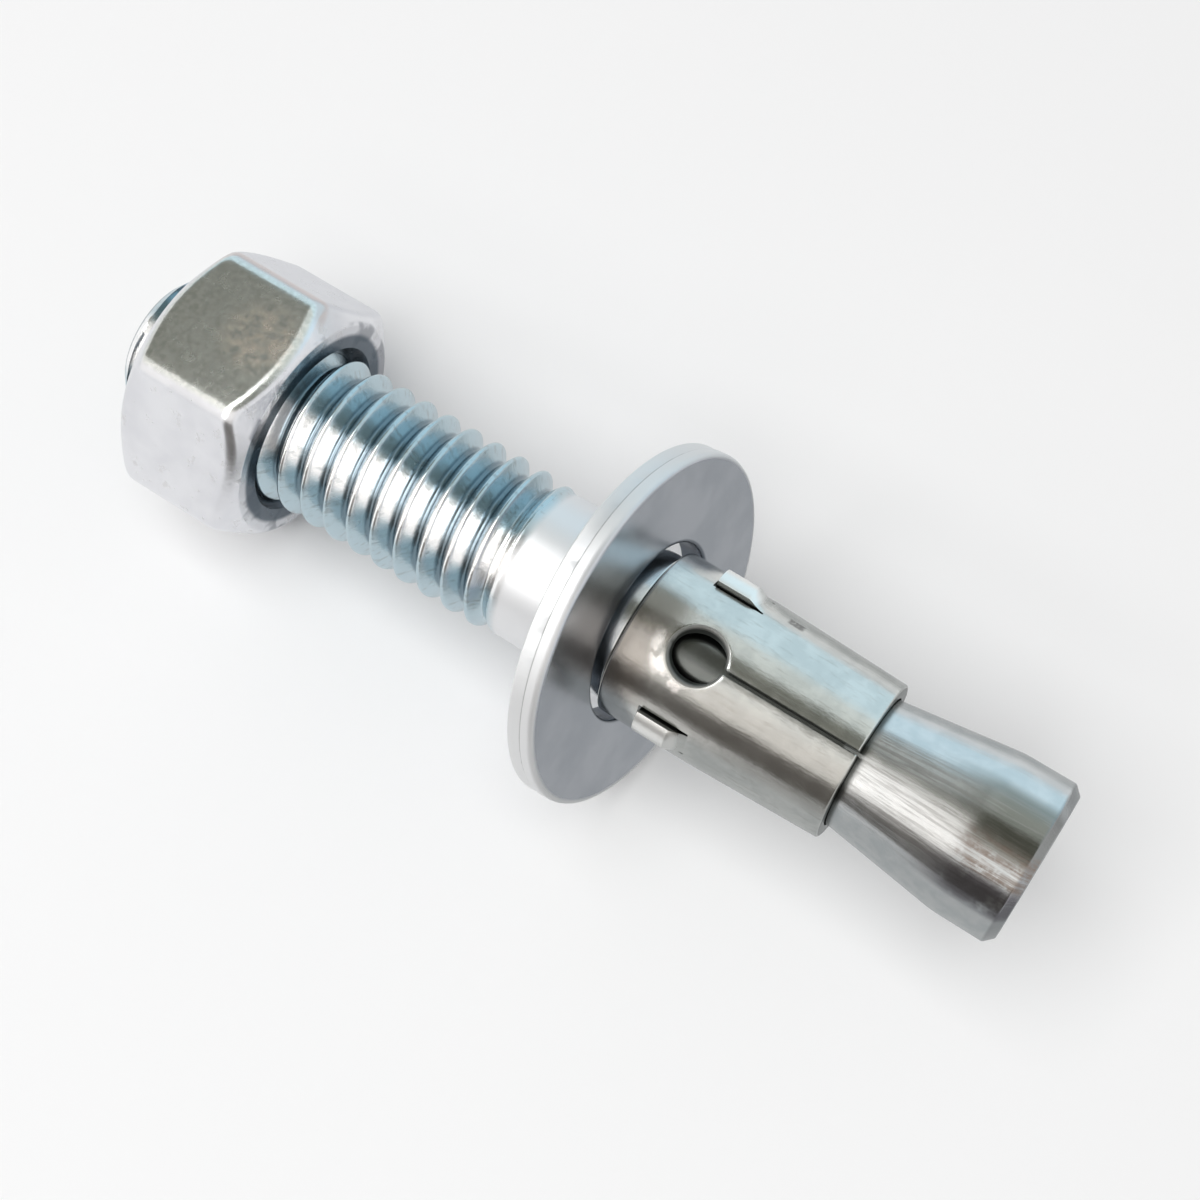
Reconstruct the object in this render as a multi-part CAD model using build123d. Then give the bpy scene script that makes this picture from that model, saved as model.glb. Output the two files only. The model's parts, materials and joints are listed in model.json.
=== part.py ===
from build123d import *

import os
from math import acos, atan2, cos, degrees, hypot, radians, sin, sqrt, tan

# A wedge anchor lying on its side: a threaded stud with a cone at one end, a rolled
# sheet-steel clip round the neck before the cone, a loose washer and a hexagon nut.
# The stud's axis is the X axis. Its threaded tip is at the origin and its cone end
# points along +X. The nut lies on one flat, so that flat faces -Z. Millimetres.

# Stud, from the threaded tip to the cone end
thread_diameter = 9.42        # over the crests of a 3/8-16 thread, kept here as a plain cylinder
thread_length = 25.7
tip_chamfer = 0.85            # 45 degrees, down to the root of the thread
thread_run_out = 0.8
collar_diameter = 8.85
collar_length = 7.5           # from the thread's end to the shoulder that stops the clip
neck_diameter = 7.3
neck_length = 12.7
cone_half_angle = 7.7         # degrees
cone_blend_radius = 6.0       # where the cone runs out into its land
land_diameter = 9.4
land_length = 3.48
land_end_bevel = 0.6

# Expansion clip, one blank rolled round the neck
sheet_thickness = 0.75
clip_length = 13.5
clip_end_play = 0.1           # between the shoulder and the clip's ring
neck_play = 0.5               # radial, between the neck and the clip's ring
cone_seat_gap = 0.1           # radial, between the cone and the leaf ends
leaf_count = 3
ring_length = 5.5             # straight part, before the leaves close in on the cone
clip_turn = 104.6             # angle of the first hole about +X, from +Y towards +Z, degrees
hole_diameter = 3.0
hole_station = 4.0            # from the clip's ring end to the hole centres
hole_edge_radius = 0.25       # outer edge, rolled over by the punch
slot_width = 0.26
seam_width = 0.32
sheet_edge_bevel = 0.12       # outer edges of the clip's two ends

# Nubs, lanced out of the clip between the holes, raised at the end that faces the nut
nub_width = 2.2
nub_flat_length = 1.9
nub_ramp_length = 1.0
nub_height = 0.6
nub_shear_gap = 0.14

# Washer, loose on the stud
washer_diameter = 20.9
washer_thickness = 1.65
washer_play = 0.4             # radial, between the clip's ring and the washer's bore
washer_lean_gap = 0.38        # left between the stud and the bore of the leaning washer
washer_past_ring = 0.2        # from the clip's ring end to the centre of the washer's face
washer_rolled_edge = 0.3      # bevel on the side that faces the cone
washer_sharp_edge = 0.12      # bevel on the side that faces the nut

# Hexagon nut
nut_across_flats = 14.29
nut_height = 8.33
nut_tip_stand = 2.3           # how far the stud's tip stands out of the nut
nut_corner_radius = 0.35
nut_face_circle = 13.5        # where the corner chamfers start, on both faces
nut_chamfer_angle = 30.0      # from the face, degrees
nut_countersink = 10.4
thread_clearance = 0.05       # radial, between the stud's crests and the nut's bore

# For making cuts and for picking edges
cut_reach = 1.0               # how far a cut runs past the sheet that it cuts
match_tolerance = 0.01        # how near an edge lies to the place that names it

# Places that follow from the sizes
thread_radius = thread_diameter / 2
collar_radius = collar_diameter / 2
neck_radius = neck_diameter / 2
land_radius = land_diameter / 2
shoulder_x = thread_length + collar_length
cone_x = shoulder_x + neck_length
cone_slope = tan(radians(cone_half_angle))
land_x = cone_x + (land_radius - neck_radius) / cone_slope
stud_length = land_x + land_length

clip_x = shoulder_x + clip_end_play
clip_end_x = clip_x + clip_length
hole_x = clip_x + hole_station
ring_inner_radius = neck_radius + neck_play
ring_outer_radius = ring_inner_radius + sheet_thickness
leaf_inner_radius = neck_radius + max(0, clip_end_x - cone_x) * cone_slope + cone_seat_gap
leaf_outer_radius = leaf_inner_radius + sheet_thickness
leaf_angle = 360 / leaf_count

washer_radius = washer_diameter / 2
washer_bore_radius = ring_outer_radius + washer_play
washer_face_x = clip_x + washer_past_ring


def washer_lean():
    """Angle at which the washer's bore comes within its gap of the collar and the ring."""
    span = collar_radius + ring_outer_radius + 2 * washer_lean_gap
    bore = 2 * washer_bore_radius
    return degrees(acos(span / hypot(bore, washer_thickness)) - atan2(washer_thickness, bore))


def turned(points, turn=360.0, middle_angle=180.0):
    """Solid turned about the stud's axis from (x, radius) points, over the whole turn or a part."""
    face = make_face(Polyline(*points, close=True))
    return Rot(X=middle_angle - turn / 2) * revolve(face, Axis.X, revolution_arc=turn)


def circles_at(part, x, radius):
    """Circular edges of a turned part at one station and radius."""
    return [
        edge
        for edge in part.edges().filter_by(GeomType.CIRCLE)
        if abs(edge.center().X - x) < match_tolerance
        and abs(edge.radius - radius) < match_tolerance
    ]


def make_anchor_stud():
    stud = turned(
        [
            (0, 0),
            (0, thread_radius - tip_chamfer),
            (tip_chamfer, thread_radius),
            (thread_length, thread_radius),
            (thread_length + thread_run_out, collar_radius),
            (shoulder_x, collar_radius),
            (shoulder_x, neck_radius),
            (cone_x, neck_radius),
            (land_x, land_radius),
            (stud_length - land_end_bevel, land_radius),
            (stud_length, land_radius - land_end_bevel),
            (stud_length, 0),
        ]
    )
    return fillet(circles_at(stud, land_x, land_radius), cone_blend_radius)


def clip_sheet():
    """The rolled blank: a straight ring, then leaves that close in on the start of the cone."""
    bend_x = clip_x + ring_length
    sheet = turned(
        [
            (clip_x, ring_inner_radius),
            (clip_x, ring_outer_radius),
            (bend_x, ring_outer_radius),
            (clip_end_x, leaf_outer_radius),
            (clip_end_x, leaf_inner_radius),
            (bend_x, ring_inner_radius),
        ]
    )
    ends = circles_at(sheet, clip_x, ring_outer_radius)
    ends += circles_at(sheet, clip_end_x, leaf_outer_radius)
    return chamfer(ends, sheet_edge_bevel)


def punch_hole(sheet, angle):
    """Round hole through the sheet, with its outer edge rolled over by the punch."""
    outward = (0, cos(radians(angle)), sin(radians(angle)))
    middle = Plane(origin=(hole_x, 0, 0), z_dir=outward)
    hole = extrude(middle * Circle(hole_diameter / 2), ring_outer_radius + cut_reach)
    before = sheet.edges()
    sheet -= hole
    mid_sheet_radius = ring_inner_radius + sheet_thickness / 2
    rim = [edge for edge in sheet.edges() - before if radial_place(edge) > mid_sheet_radius]
    return fillet(rim, hole_edge_radius)


def radial_place(edge):
    """Distance of an edge's start from the stud's axis."""
    start = edge.position_at(0)
    return hypot(start.Y, start.Z)


def cut_slot(sheet, angle, start_x, width):
    """Slot along the clip, from a station to the leaf ends."""
    length = clip_end_x + cut_reach - start_x
    height = 2 * (sheet_thickness + cut_reach)
    blade = Pos(start_x + length / 2, ring_inner_radius, 0) * Box(length, height, width)
    return sheet - Rot(X=angle) * blade


def lance_nub(sheet, angle):
    """Tab sheared on three sides and pushed out, still joined at the end that faces the cone."""
    start_x = hole_x - (nub_flat_length + nub_ramp_length) / 2
    ramp_x = start_x + nub_flat_length
    end_x = ramp_x + nub_ramp_length
    window_x = start_x - nub_shear_gap
    window = turned(
        [
            (window_x, ring_inner_radius - cut_reach),
            (window_x, ring_outer_radius + cut_reach),
            (end_x, ring_outer_radius + cut_reach),
            (end_x, ring_inner_radius - cut_reach),
        ],
        degrees((nub_width + 2 * nub_shear_gap) / ring_outer_radius),
        angle,
    )
    tab = turned(
        [
            (start_x, ring_inner_radius + nub_height),
            (start_x, ring_outer_radius + nub_height),
            (ramp_x, ring_outer_radius + nub_height),
            (end_x, ring_outer_radius),
            (end_x, ring_inner_radius),
            (ramp_x, ring_inner_radius + nub_height),
        ],
        degrees(nub_width / ring_outer_radius),
        angle,
    )
    return sheet - window + tab


def make_expansion_clip():
    clip = clip_sheet()
    hole_angles = [clip_turn + leaf_angle * leaf for leaf in range(leaf_count)]
    for angle in hole_angles:
        clip = punch_hole(clip, angle)
    for angle in hole_angles[:-1]:
        clip = cut_slot(clip, angle, hole_x, slot_width)
    # The last slot is the seam where the ends of the blank meet, so it runs through the ring
    clip = cut_slot(clip, hole_angles[-1], clip_x - cut_reach, seam_width)
    for angle in hole_angles:
        clip = lance_nub(clip, angle + leaf_angle / 2)
    return clip


def make_washer():
    ring = turned(
        [
            (0, washer_bore_radius),
            (0, washer_radius),
            (-washer_thickness, washer_radius),
            (-washer_thickness, washer_bore_radius),
        ]
    )
    for radius in (washer_radius, washer_bore_radius):
        ring = chamfer(circles_at(ring, 0, radius), washer_rolled_edge)
        ring = chamfer(circles_at(ring, -washer_thickness, radius), washer_sharp_edge)
    return Pos(washer_face_x, 0, 0) * Rot(Y=-washer_lean()) * ring


def make_hex_nut():
    start_x = nut_tip_stand
    end_x = start_x + nut_height
    corner_radius = nut_across_flats / sqrt(3)
    hexagon = RegularPolygon(corner_radius, 6)
    hexagon = fillet(hexagon.vertices(), nut_corner_radius)
    prism = extrude(Plane((start_x, 0, 0), x_dir=(0, 1, 0), z_dir=(1, 0, 0)) * hexagon, nut_height)

    face_radius = nut_face_circle / 2
    chamfer_length = (corner_radius - face_radius) * tan(radians(nut_chamfer_angle))
    chamfered = turned(
        [
            (start_x, 0),
            (start_x, face_radius),
            (start_x + chamfer_length, corner_radius),
            (end_x - chamfer_length, corner_radius),
            (end_x, face_radius),
            (end_x, 0),
        ]
    )

    bore_radius = thread_radius + thread_clearance
    sink_radius = nut_countersink / 2
    sink_depth = sink_radius - bore_radius
    bore = turned(
        [
            (start_x, 0),
            (start_x, sink_radius),
            (start_x + sink_depth, bore_radius),
            (end_x - sink_depth, bore_radius),
            (end_x, sink_radius),
            (end_x, 0),
        ]
    )
    return (prism & chamfered) - bore


os.makedirs("parts", exist_ok=True)
export_step(make_anchor_stud(), "parts/anchor_stud.step")
export_step(make_expansion_clip(), "parts/expansion_clip.step")
export_step(make_washer(), "parts/washer.step")
export_step(make_hex_nut(), "parts/hex_nut.step")
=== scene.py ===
import json
from math import atan2, ceil, cos, degrees, hypot, pi, radians, sin, sqrt, tan

import bmesh
import bpy
from mathutils import Matrix, Vector, noise


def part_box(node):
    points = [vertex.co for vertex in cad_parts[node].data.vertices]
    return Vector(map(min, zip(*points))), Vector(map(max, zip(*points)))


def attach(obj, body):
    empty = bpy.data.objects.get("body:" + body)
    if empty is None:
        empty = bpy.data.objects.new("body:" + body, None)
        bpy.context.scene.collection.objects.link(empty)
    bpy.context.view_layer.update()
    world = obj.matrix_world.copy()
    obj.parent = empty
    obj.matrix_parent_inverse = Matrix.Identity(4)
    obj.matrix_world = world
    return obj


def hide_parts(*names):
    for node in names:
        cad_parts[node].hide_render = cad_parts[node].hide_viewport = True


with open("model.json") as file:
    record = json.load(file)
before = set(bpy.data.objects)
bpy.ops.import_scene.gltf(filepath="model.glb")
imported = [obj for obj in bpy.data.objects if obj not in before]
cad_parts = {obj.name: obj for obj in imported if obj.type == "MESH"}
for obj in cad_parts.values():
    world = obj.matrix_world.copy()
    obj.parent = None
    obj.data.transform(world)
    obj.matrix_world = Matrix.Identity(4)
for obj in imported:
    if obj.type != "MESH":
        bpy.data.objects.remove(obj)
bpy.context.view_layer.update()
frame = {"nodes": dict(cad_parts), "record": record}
mm = 0.001  # the dictionaries are in millimetres and degrees, and the studio's lengths in metres
print("frame loaded")


class Wire:
    # a node's outlet, with arithmetic that adds Math nodes
    def __init__(self, graph, socket):
        self.graph = graph
        self.socket = socket

    def maths(self, operation, *values):
        return self.graph.make("ShaderNodeMath", {"operation": operation}, dict(enumerate(values)))

    def __add__(self, other):
        return self.maths("ADD", self, other)

    __radd__ = __add__

    def __sub__(self, other):
        return self.maths("SUBTRACT", self, other)

    def __rsub__(self, other):
        return self.maths("SUBTRACT", other, self)

    def __mul__(self, other):
        return self.maths("MULTIPLY", self, other)

    __rmul__ = __mul__

    def __truediv__(self, other):
        return self.maths("DIVIDE", self, other)

    def __rtruediv__(self, other):
        return self.maths("DIVIDE", other, self)

    def root(self):
        return self.maths("SQRT", self)

    def orMore(self, other):
        return self.maths("MAXIMUM", self, other)

    def between(self, low, high):
        # 0 below low, 1 above high, eased between them
        settings = {"interpolation_type": "SMOOTHSTEP"}
        values = {"Value": self, "From Min": low, "From Max": high}
        return self.graph.make("ShaderNodeMapRange", settings, values)


class Graph:
    # the nodes of a material or of the world, emptied first
    def __init__(self, owner, ending="ShaderNodeOutputMaterial"):
        owner.use_nodes = True
        self.owner = owner
        self.tree = owner.node_tree
        self.tree.nodes.clear()
        self.output = self.tree.nodes.new(ending)

    def make(self, kind, settings=None, values=None, outlet=0):
        node = self.tree.nodes.new(kind)
        for key, setting in (settings or {}).items():
            setattr(node, key, setting)
        for key, value in (values or {}).items():
            self.feed(node.inputs[key], value)
        return Wire(self, node.outputs[outlet])

    def feed(self, socket, value):
        if isinstance(value, Wire):
            self.tree.links.new(value.socket, socket)
        else:
            socket.default_value = value

    def blend(self, share, first, second):
        # from the first colour to the second
        values = {0: share, 6: opaque(first), 7: opaque(second)}
        return self.make("ShaderNodeMix", {"data_type": "RGBA"}, values, 2)

    def finish(self, shader):
        self.feed(self.output.inputs["Surface"], shader)
        return self.owner


def opaque(colour):
    return colour if isinstance(colour, Wire) else (*colour, 1)


def newGraph(name):
    return Graph(bpy.data.materials.new(name))


def objectSpot(graph):
    return graph.make("ShaderNodeTexCoord", outlet="Object")


def partPosition(graph):
    # x, y, z and the distance from the stud's axis in millimetres, as wires
    split = graph.make("ShaderNodeSeparateXYZ", {}, {0: objectSpot(graph)})
    x, y, z = [Wire(graph, outlet) / mm for outlet in split.socket.node.outputs]
    return x, y, z, (y * y + z * z).root()


def noiseOf(graph, vector, scale, detail, rough):
    values = {"Vector": vector, "Scale": scale, "Detail": detail, "Roughness": rough}
    return graph.make("ShaderNodeTexNoise", {}, values)


def roundTheAxis(graph, place, axialScale, roundScale):
    # a vector that runs along the stud and round it with no seam
    x, y, z, radius = place
    parts = {0: x * axialScale, 1: y / radius * roundScale, 2: z / radius * roundScale}
    return graph.make("ShaderNodeCombineXYZ", {}, parts)


def facing(place, angle, near, far):
    # 1 within near degrees of an angle about +X, falling to 0 at far degrees
    x, y, z, radius = place
    turned = (y * cos(radians(angle)) + z * sin(radians(angle))) / radius
    return turned.between(cos(radians(far)), cos(radians(near)))


def cloudy(graph, cloud, tones):
    # an even mix of two tones, in patches
    return graph.blend(cloud.between(0.35, 0.65), *tones)


def painted(graph, tone, coats):
    # a coat is where it lies, from 0 to 1, then its strength and its colour
    for where, (strength, colour) in coats:
        tone = graph.blend(where * strength, tone, colour)
    return tone


def total(weights, wires, plain=0):
    # each wire times its own weight, on top of a plain amount
    for weight, wire in zip(weights, wires):
        plain = wire * weight + plain
    return plain


def platedSteel(graph, piece, tone, rough, height, metallic=1.0):
    # height is in units of the piece's bumpDepth
    bump = graph.make("ShaderNodeBump", {}, {
        "Strength": piece["bumpStrength"], "Distance": piece["bumpDepth"] * mm, "Height": height,
    })
    shader = graph.make("ShaderNodeBsdfPrincipled", {}, {
        "Metallic": metallic, "Base Color": tone, "Roughness": rough, "Normal": bump,
    })
    return graph.finish(shader)


meshing = {
    "mergeWithin": 0.0008,
    "sliverUnder": 0.0004,
    "sharpAngle": 35.0,
}


def meshFrom(name, build):
    # build fills a bmesh in millimetres; doubled points are merged and hard edges kept
    shell = bmesh.new()
    build(shell)
    bmesh.ops.remove_doubles(shell, verts=shell.verts, dist=meshing["mergeWithin"])
    bmesh.ops.dissolve_degenerate(shell, edges=shell.edges, dist=meshing["sliverUnder"])
    bmesh.ops.recalc_face_normals(shell, faces=shell.faces)
    bmesh.ops.scale(shell, vec=(mm, mm, mm), verts=shell.verts)
    for face in shell.faces:
        face.smooth = True
    mesh = bpy.data.meshes.new(name)
    shell.to_mesh(mesh)
    shell.free()
    mesh.set_sharp_from_angle(angle=radians(meshing["sharpAngle"]))
    return mesh


def newPiece(name, build, body, node, material):
    mesh = meshFrom(name, build)
    piece = bpy.data.objects.new(name, mesh)
    bpy.context.scene.collection.objects.link(piece)
    piece.data.materials.append(material)
    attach(piece, body)
    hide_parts(node)
    print("made", name, len(mesh.polygons), "faces")


def onAxis(x, radius, angle):
    # angle about +X, from +Y towards +Z
    return Vector((x, radius * cos(angle), radius * sin(angle)))


def roundedProfile(corners, steps=5, hold=0.04):
    # (x, radius, rounding) corners become (x, radius) points, with an arc at each rounded corner;
    # hold is a short flat beside each arc, which keeps its shading off the long faces
    points = []
    for place, (x, radius, rounding) in enumerate(corners):
        here = Vector((x, radius))
        if not rounding:
            points.append(here)
            continue
        back = (Vector(corners[place - 1][:2]) - here).normalized()
        ahead = (Vector(corners[place + 1][:2]) - here).normalized()
        half = back.angle(ahead) / 2
        turn = pi - 2 * half
        reach = rounding / tan(half)
        centre = here + (back + ahead).normalized() * rounding / sin(half)
        first = here + back * reach - centre
        last = here + ahead * reach - centre
        points.append(here + back * (reach + hold))
        for step in range(steps + 1):
            share = step / steps
            arm = (first * sin((1 - share) * turn) + last * sin(share * turn)) / sin(turn)
            points.append(centre + arm)
        points.append(here + ahead * (reach + hold))
    return [(point.x, point.y) for point in points]


def evenAngles(count):
    return [2 * pi * place / count for place in range(count)]


def addGrid(shell, rows, closed=False):
    # rows of points, all of one length, joined by quads
    made = [[shell.verts.new(point) for point in row] for row in rows]
    for lower, upper in zip(made, made[1:]):
        count = len(lower)
        for place in range(count if closed else count - 1):
            after = (place + 1) % count
            shell.faces.new((lower[place], lower[after], upper[after], upper[place]))


def addTurned(shell, profile, angles, shift=None):
    # a profile of (x, radius) points turned round the axis; a radius of 0 closes an end
    rows = []
    for x, radius in profile:
        moves = [shift(x, radius, angle) if shift and radius else 0 for angle in angles]
        rows.append([onAxis(x, radius + move, angle) for move, angle in zip(moves, angles)])
    addGrid(shell, rows, closed=True)


# shared by the stud and the nut, so that their threads mesh
thread = {
    "pitch": 1.5875,
    "crestRadius": 4.71,
    "depth": 0.95,
    "crestWidth": 0.21,      # along the axis, at the very top
    "flankSlope": 1.732,     # 60 degrees between the flanks
    "rounding": 0.05,        # of crests and roots
    "rows": (0, 0.05, 0.09, 0.13, 0.18, 0.28, 0.42, 0.54, 0.60, 0.65, 0.70, 0.745),  # from the crest
}


def threadDepth(offset):
    # how far below the crest the surface lies, at a distance along the axis from the crest
    soft = thread["rounding"]
    deep = (abs(offset) - thread["crestWidth"] / 2) * thread["flankSlope"]
    deep = (deep + sqrt(deep * deep + 4 * soft * soft)) / 2
    left = thread["depth"] - deep
    return thread["depth"] - (left + sqrt(left * left + 4 * soft * soft)) / 2


def threadRows(startX, endX, angles, radiusAt):
    # rows follow the right-hand helix, and are held to the two ends
    pitch = thread["pitch"]
    half = thread["rows"]
    offsets = [-offset for offset in reversed(half)] + list(half[1:]) + [pitch / 2]
    rows = []
    for turn in range(int(startX / pitch) - 2, ceil(endX / pitch) + 2):
        for offset in offsets:
            row = []
            for angle in angles + [2 * pi]:
                x = pitch * (turn + angle / (2 * pi)) + offset
                held = min(max(x, startX), endX)
                near = (held / pitch - angle / (2 * pi) + 0.5) % 1 - 0.5
                row.append(onAxis(held, radiusAt(held, near * pitch, angle), angle))
            rows.append(row)
    return rows


stud = {
    "threadEnd": 26.5,
    "tipRadius": 3.74,             # of the flat end, just under the roots
    "tipSlope": 1.02,              # of the chamfer behind it
    "runOut": 2.2,                 # over which the roots come up to the collar
    "collarRadius": 4.425,
    "shoulder": 33.2,
    "neckRadius": 3.65,
    "coneStart": 45.9,
    "landStart": 53.67,
    "landRadius": 4.7,
    "endBevel": 0.5,
    "shoulderRounds": (0.12, 0.15),     # outer and inner
    "coneRound": 1.5,
    "landRound": 6.0,
    "bevelRounds": (0.25, 0.18),
    "tipRing": 2.0,                # a row of points on each flat end
    "endRing": 1.5,
    "columns": 144,
    "rowLength": 0.9,              # about, beyond the thread
    "crestWander": 0.018,          # unevenness of the rolled crests
    "wanderScale": (0.9, 4.0),     # along and round
    "markHeight": 0.016,           # lengthwise drawing marks on the cone
    "markFadeIn": 3.0,
    "markEnd": 56.4,
    "fineMarks": (0.7, 0.05, 9.0),     # weight, then scale along and round
    "broadMarks": (0.5, 0.03, 3.5),
    # noises: scale, detail and roughness
    "drawn": (1.7, 4.0, 0.65),
    "cloud": (0.9, 3.0, 0.55),
    "grain": (5.0, 4.0, 0.6),
    "patch": (2.0, 4.0, 0.65),
    "speck": (3.2, 2.0, 0.5),
    "blotch": (420.0, 3.0, 0.6),
    "drawnScale": (0.1, 11.0),     # along and round
    "skinScale": (1.0, 4.5),
    # where a finish or a painted shade starts and where it is full, along the axis
    "tipFace": (0.02, 0.08),
    "plainPart": (25.6, 26.4),
    "pastCollar": (31.4, 31.9),
    "underClip": (33.15, 33.3),
    "pastClip": (46.75, 47.3),
    "onCone": (46.0, 47.5),
    "olivePart": (50.0, 54.5),
    "darkLandPart": (50.5, 54.5),
    "onLand": (52.6, 54.0),
    "onBevel": (56.5, 56.7),
    "endFace": (57.08, 57.13),
    "rootRadius": (3.78, 3.98),
    # how high a noise is where its mark starts to show and where it is full
    "speckShows": (0.56, 0.68),
    "oliveShows": (0.05, 0.4),
    "streakShows": (0.47, 0.6),
    "burntShows": (0.3, 0.6),
    "burntPatchShows": (0.25, 0.6),
    "darkLandShows": (0.2, 0.5),
    # bands round the stud: their angle, full within, gone at
    # a painted highlight along the thread, on two sides
    "highlightBand": (121, 17, 29),
    "highlightBandBehind": (301, 17, 29),
    # a painted highlight along the cone
    "coneHighlightBand": (118, 14, 24),
    # drawing marks, darkened only across the cone's lit side, where they are painted shade between its
    # bright streaks
    "streakBand": (112, 25, 45),
    # a painted dark reflection along the top of the cone, near the land
    "oliveReflectionBand": (92, 15, 27),
    "burntBand": (118, 9, 18),
    # a dark band low on the front of the land, in cloudy patches
    "darkLandBand": (142, 7, 15),
    # tones, then coats of strength and tone
    "steel": ((0.60, 0.63, 0.64), (0.68, 0.695, 0.70)),
    # blue zinc, then the white of the thread's painted highlight
    "threadAndHighlightTones": ((0.47, 0.58, 0.63), (1.0, 1.0, 1.0)),
    "speckTone": (0.32, 0.36, 0.37),
    "speckStrength": 0.55,
    "speckUnderHighlight": 0.3,              # how much fainter the specks are under the painted highlight
    "faceTones": ((0.56, 0.59, 0.60), (0.66, 0.68, 0.68)),
    "collarCoat": (1.0, (0.76, 0.765, 0.775)),
    # the dark olive of that painted reflection
    "oliveReflectionCoat": (0.85, (0.20, 0.20, 0.17)),
    # the light tone of the cone's painted highlight
    "coneHighlightCoat": (0.7, (0.84, 0.84, 0.83)),
    "streakCoat": (0.6, (0.36, 0.35, 0.34)),
    # painted shade all round the end bevel
    "bevelShadeCoat": (0.6, (0.25, 0.26, 0.27)),
    "burntCoat": (0.85, (0.24, 0.19, 0.16)),
    "darkLandCoat": (0.8, (0.16, 0.15, 0.17)),
    # painted shade in the thread's roots
    "rootShadeCoat": (0.85, (0.10, 0.16, 0.20)),
    "shadeCoat": (0.85, (0.12, 0.13, 0.12)),
    "roughness": 0.16,
    "roughWeights": (0.08, 0.06, 0.08, 0.25),    # cloud, thread, drawn cone, collar
    "reliefWeights": (0.35, 1.2, 0.4, 3.0),      # grain, drawn cone, cloud, patches on the thread
    "faceRelief": 1.5,
    "bumpStrength": 0.35,
    "bumpDepth": 0.02,
    "collarMatt": 0.3,             # how far the collar is from bare metal
}


def threadedRadius(x, offset, angle):
    along, around = stud["wanderScale"]
    wander = noise.noise(Vector((x * along, cos(angle) * around, sin(angle) * around))) - 1
    radius = thread["crestRadius"] - threadDepth(offset) + wander * stud["crestWander"]
    faded = min(max((x - stud["threadEnd"] + stud["runOut"]) / stud["runOut"], 0), 1)
    faded = faded * faded * (3 - 2 * faded)
    radius = radius * (1 - faded) + stud["collarRadius"] * faded
    return min(radius, stud["tipRadius"] + x * stud["tipSlope"])


def marksAt(x, angle, marks, shift=0.0):
    weight, along, around = marks
    return weight * noise.noise(Vector((x * along, cos(angle) * around + shift, sin(angle) * around)))


def drawnMarks(x, radius, angle):
    # fine lengthwise ridges where the cone was drawn, stronger towards the land
    share = min(max((x - stud["coneStart"]) / stud["markFadeIn"], 0), 1) if x < stud["markEnd"] else 0
    fine = marksAt(x, angle, stud["fineMarks"])
    broad = marksAt(x, angle, stud["broadMarks"], 7.0)
    return share * stud["markHeight"] * (fine + broad - 0.5)


def buildStud(shell):
    angles = evenAngles(stud["columns"])
    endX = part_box("anchor_stud")[1].x / mm
    outerRound, innerRound = stud["shoulderRounds"]
    sideRound, faceRound = stud["bevelRounds"]
    addTurned(shell, [(0, 0), (0, stud["tipRing"]), (0, stud["tipRadius"])], angles)
    addGrid(shell, threadRows(0, stud["threadEnd"], angles, threadedRadius))
    plain = roundedProfile([
        (stud["threadEnd"], stud["collarRadius"], 0),
        (stud["shoulder"], stud["collarRadius"], outerRound),
        (stud["shoulder"], stud["neckRadius"], innerRound),
        (stud["coneStart"], stud["neckRadius"], stud["coneRound"]),
        (stud["landStart"], stud["landRadius"], stud["landRound"]),
        (endX - stud["endBevel"], stud["landRadius"], sideRound),
        (endX, stud["landRadius"] - stud["endBevel"], faceRound),
        (endX, stud["endRing"], 0),
        (endX, 0, 0),
    ])
    fine = []
    for (x, radius), (nextX, nextRadius) in zip(plain, plain[1:]):
        count = max(1, round(abs(nextX - x) / stud["rowLength"]))
        for row in range(count):
            share = row / count
            fine.append((x + (nextX - x) * share, radius + (nextRadius - radius) * share))
    addTurned(shell, fine + plain[-1:], angles, drawnMarks)


def threadTone(graph, place, speck):
    # blue zinc, with a painted highlight in a band along it on two sides
    paintedHighlight = facing(place, *stud["highlightBand"]) + facing(place, *stud["highlightBandBehind"])
    tone = graph.blend(paintedHighlight, *stud["threadAndHighlightTones"])
    strength = stud["speckStrength"] - paintedHighlight * stud["speckUnderHighlight"]
    return graph.blend(speck * strength, tone, stud["speckTone"])


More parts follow.
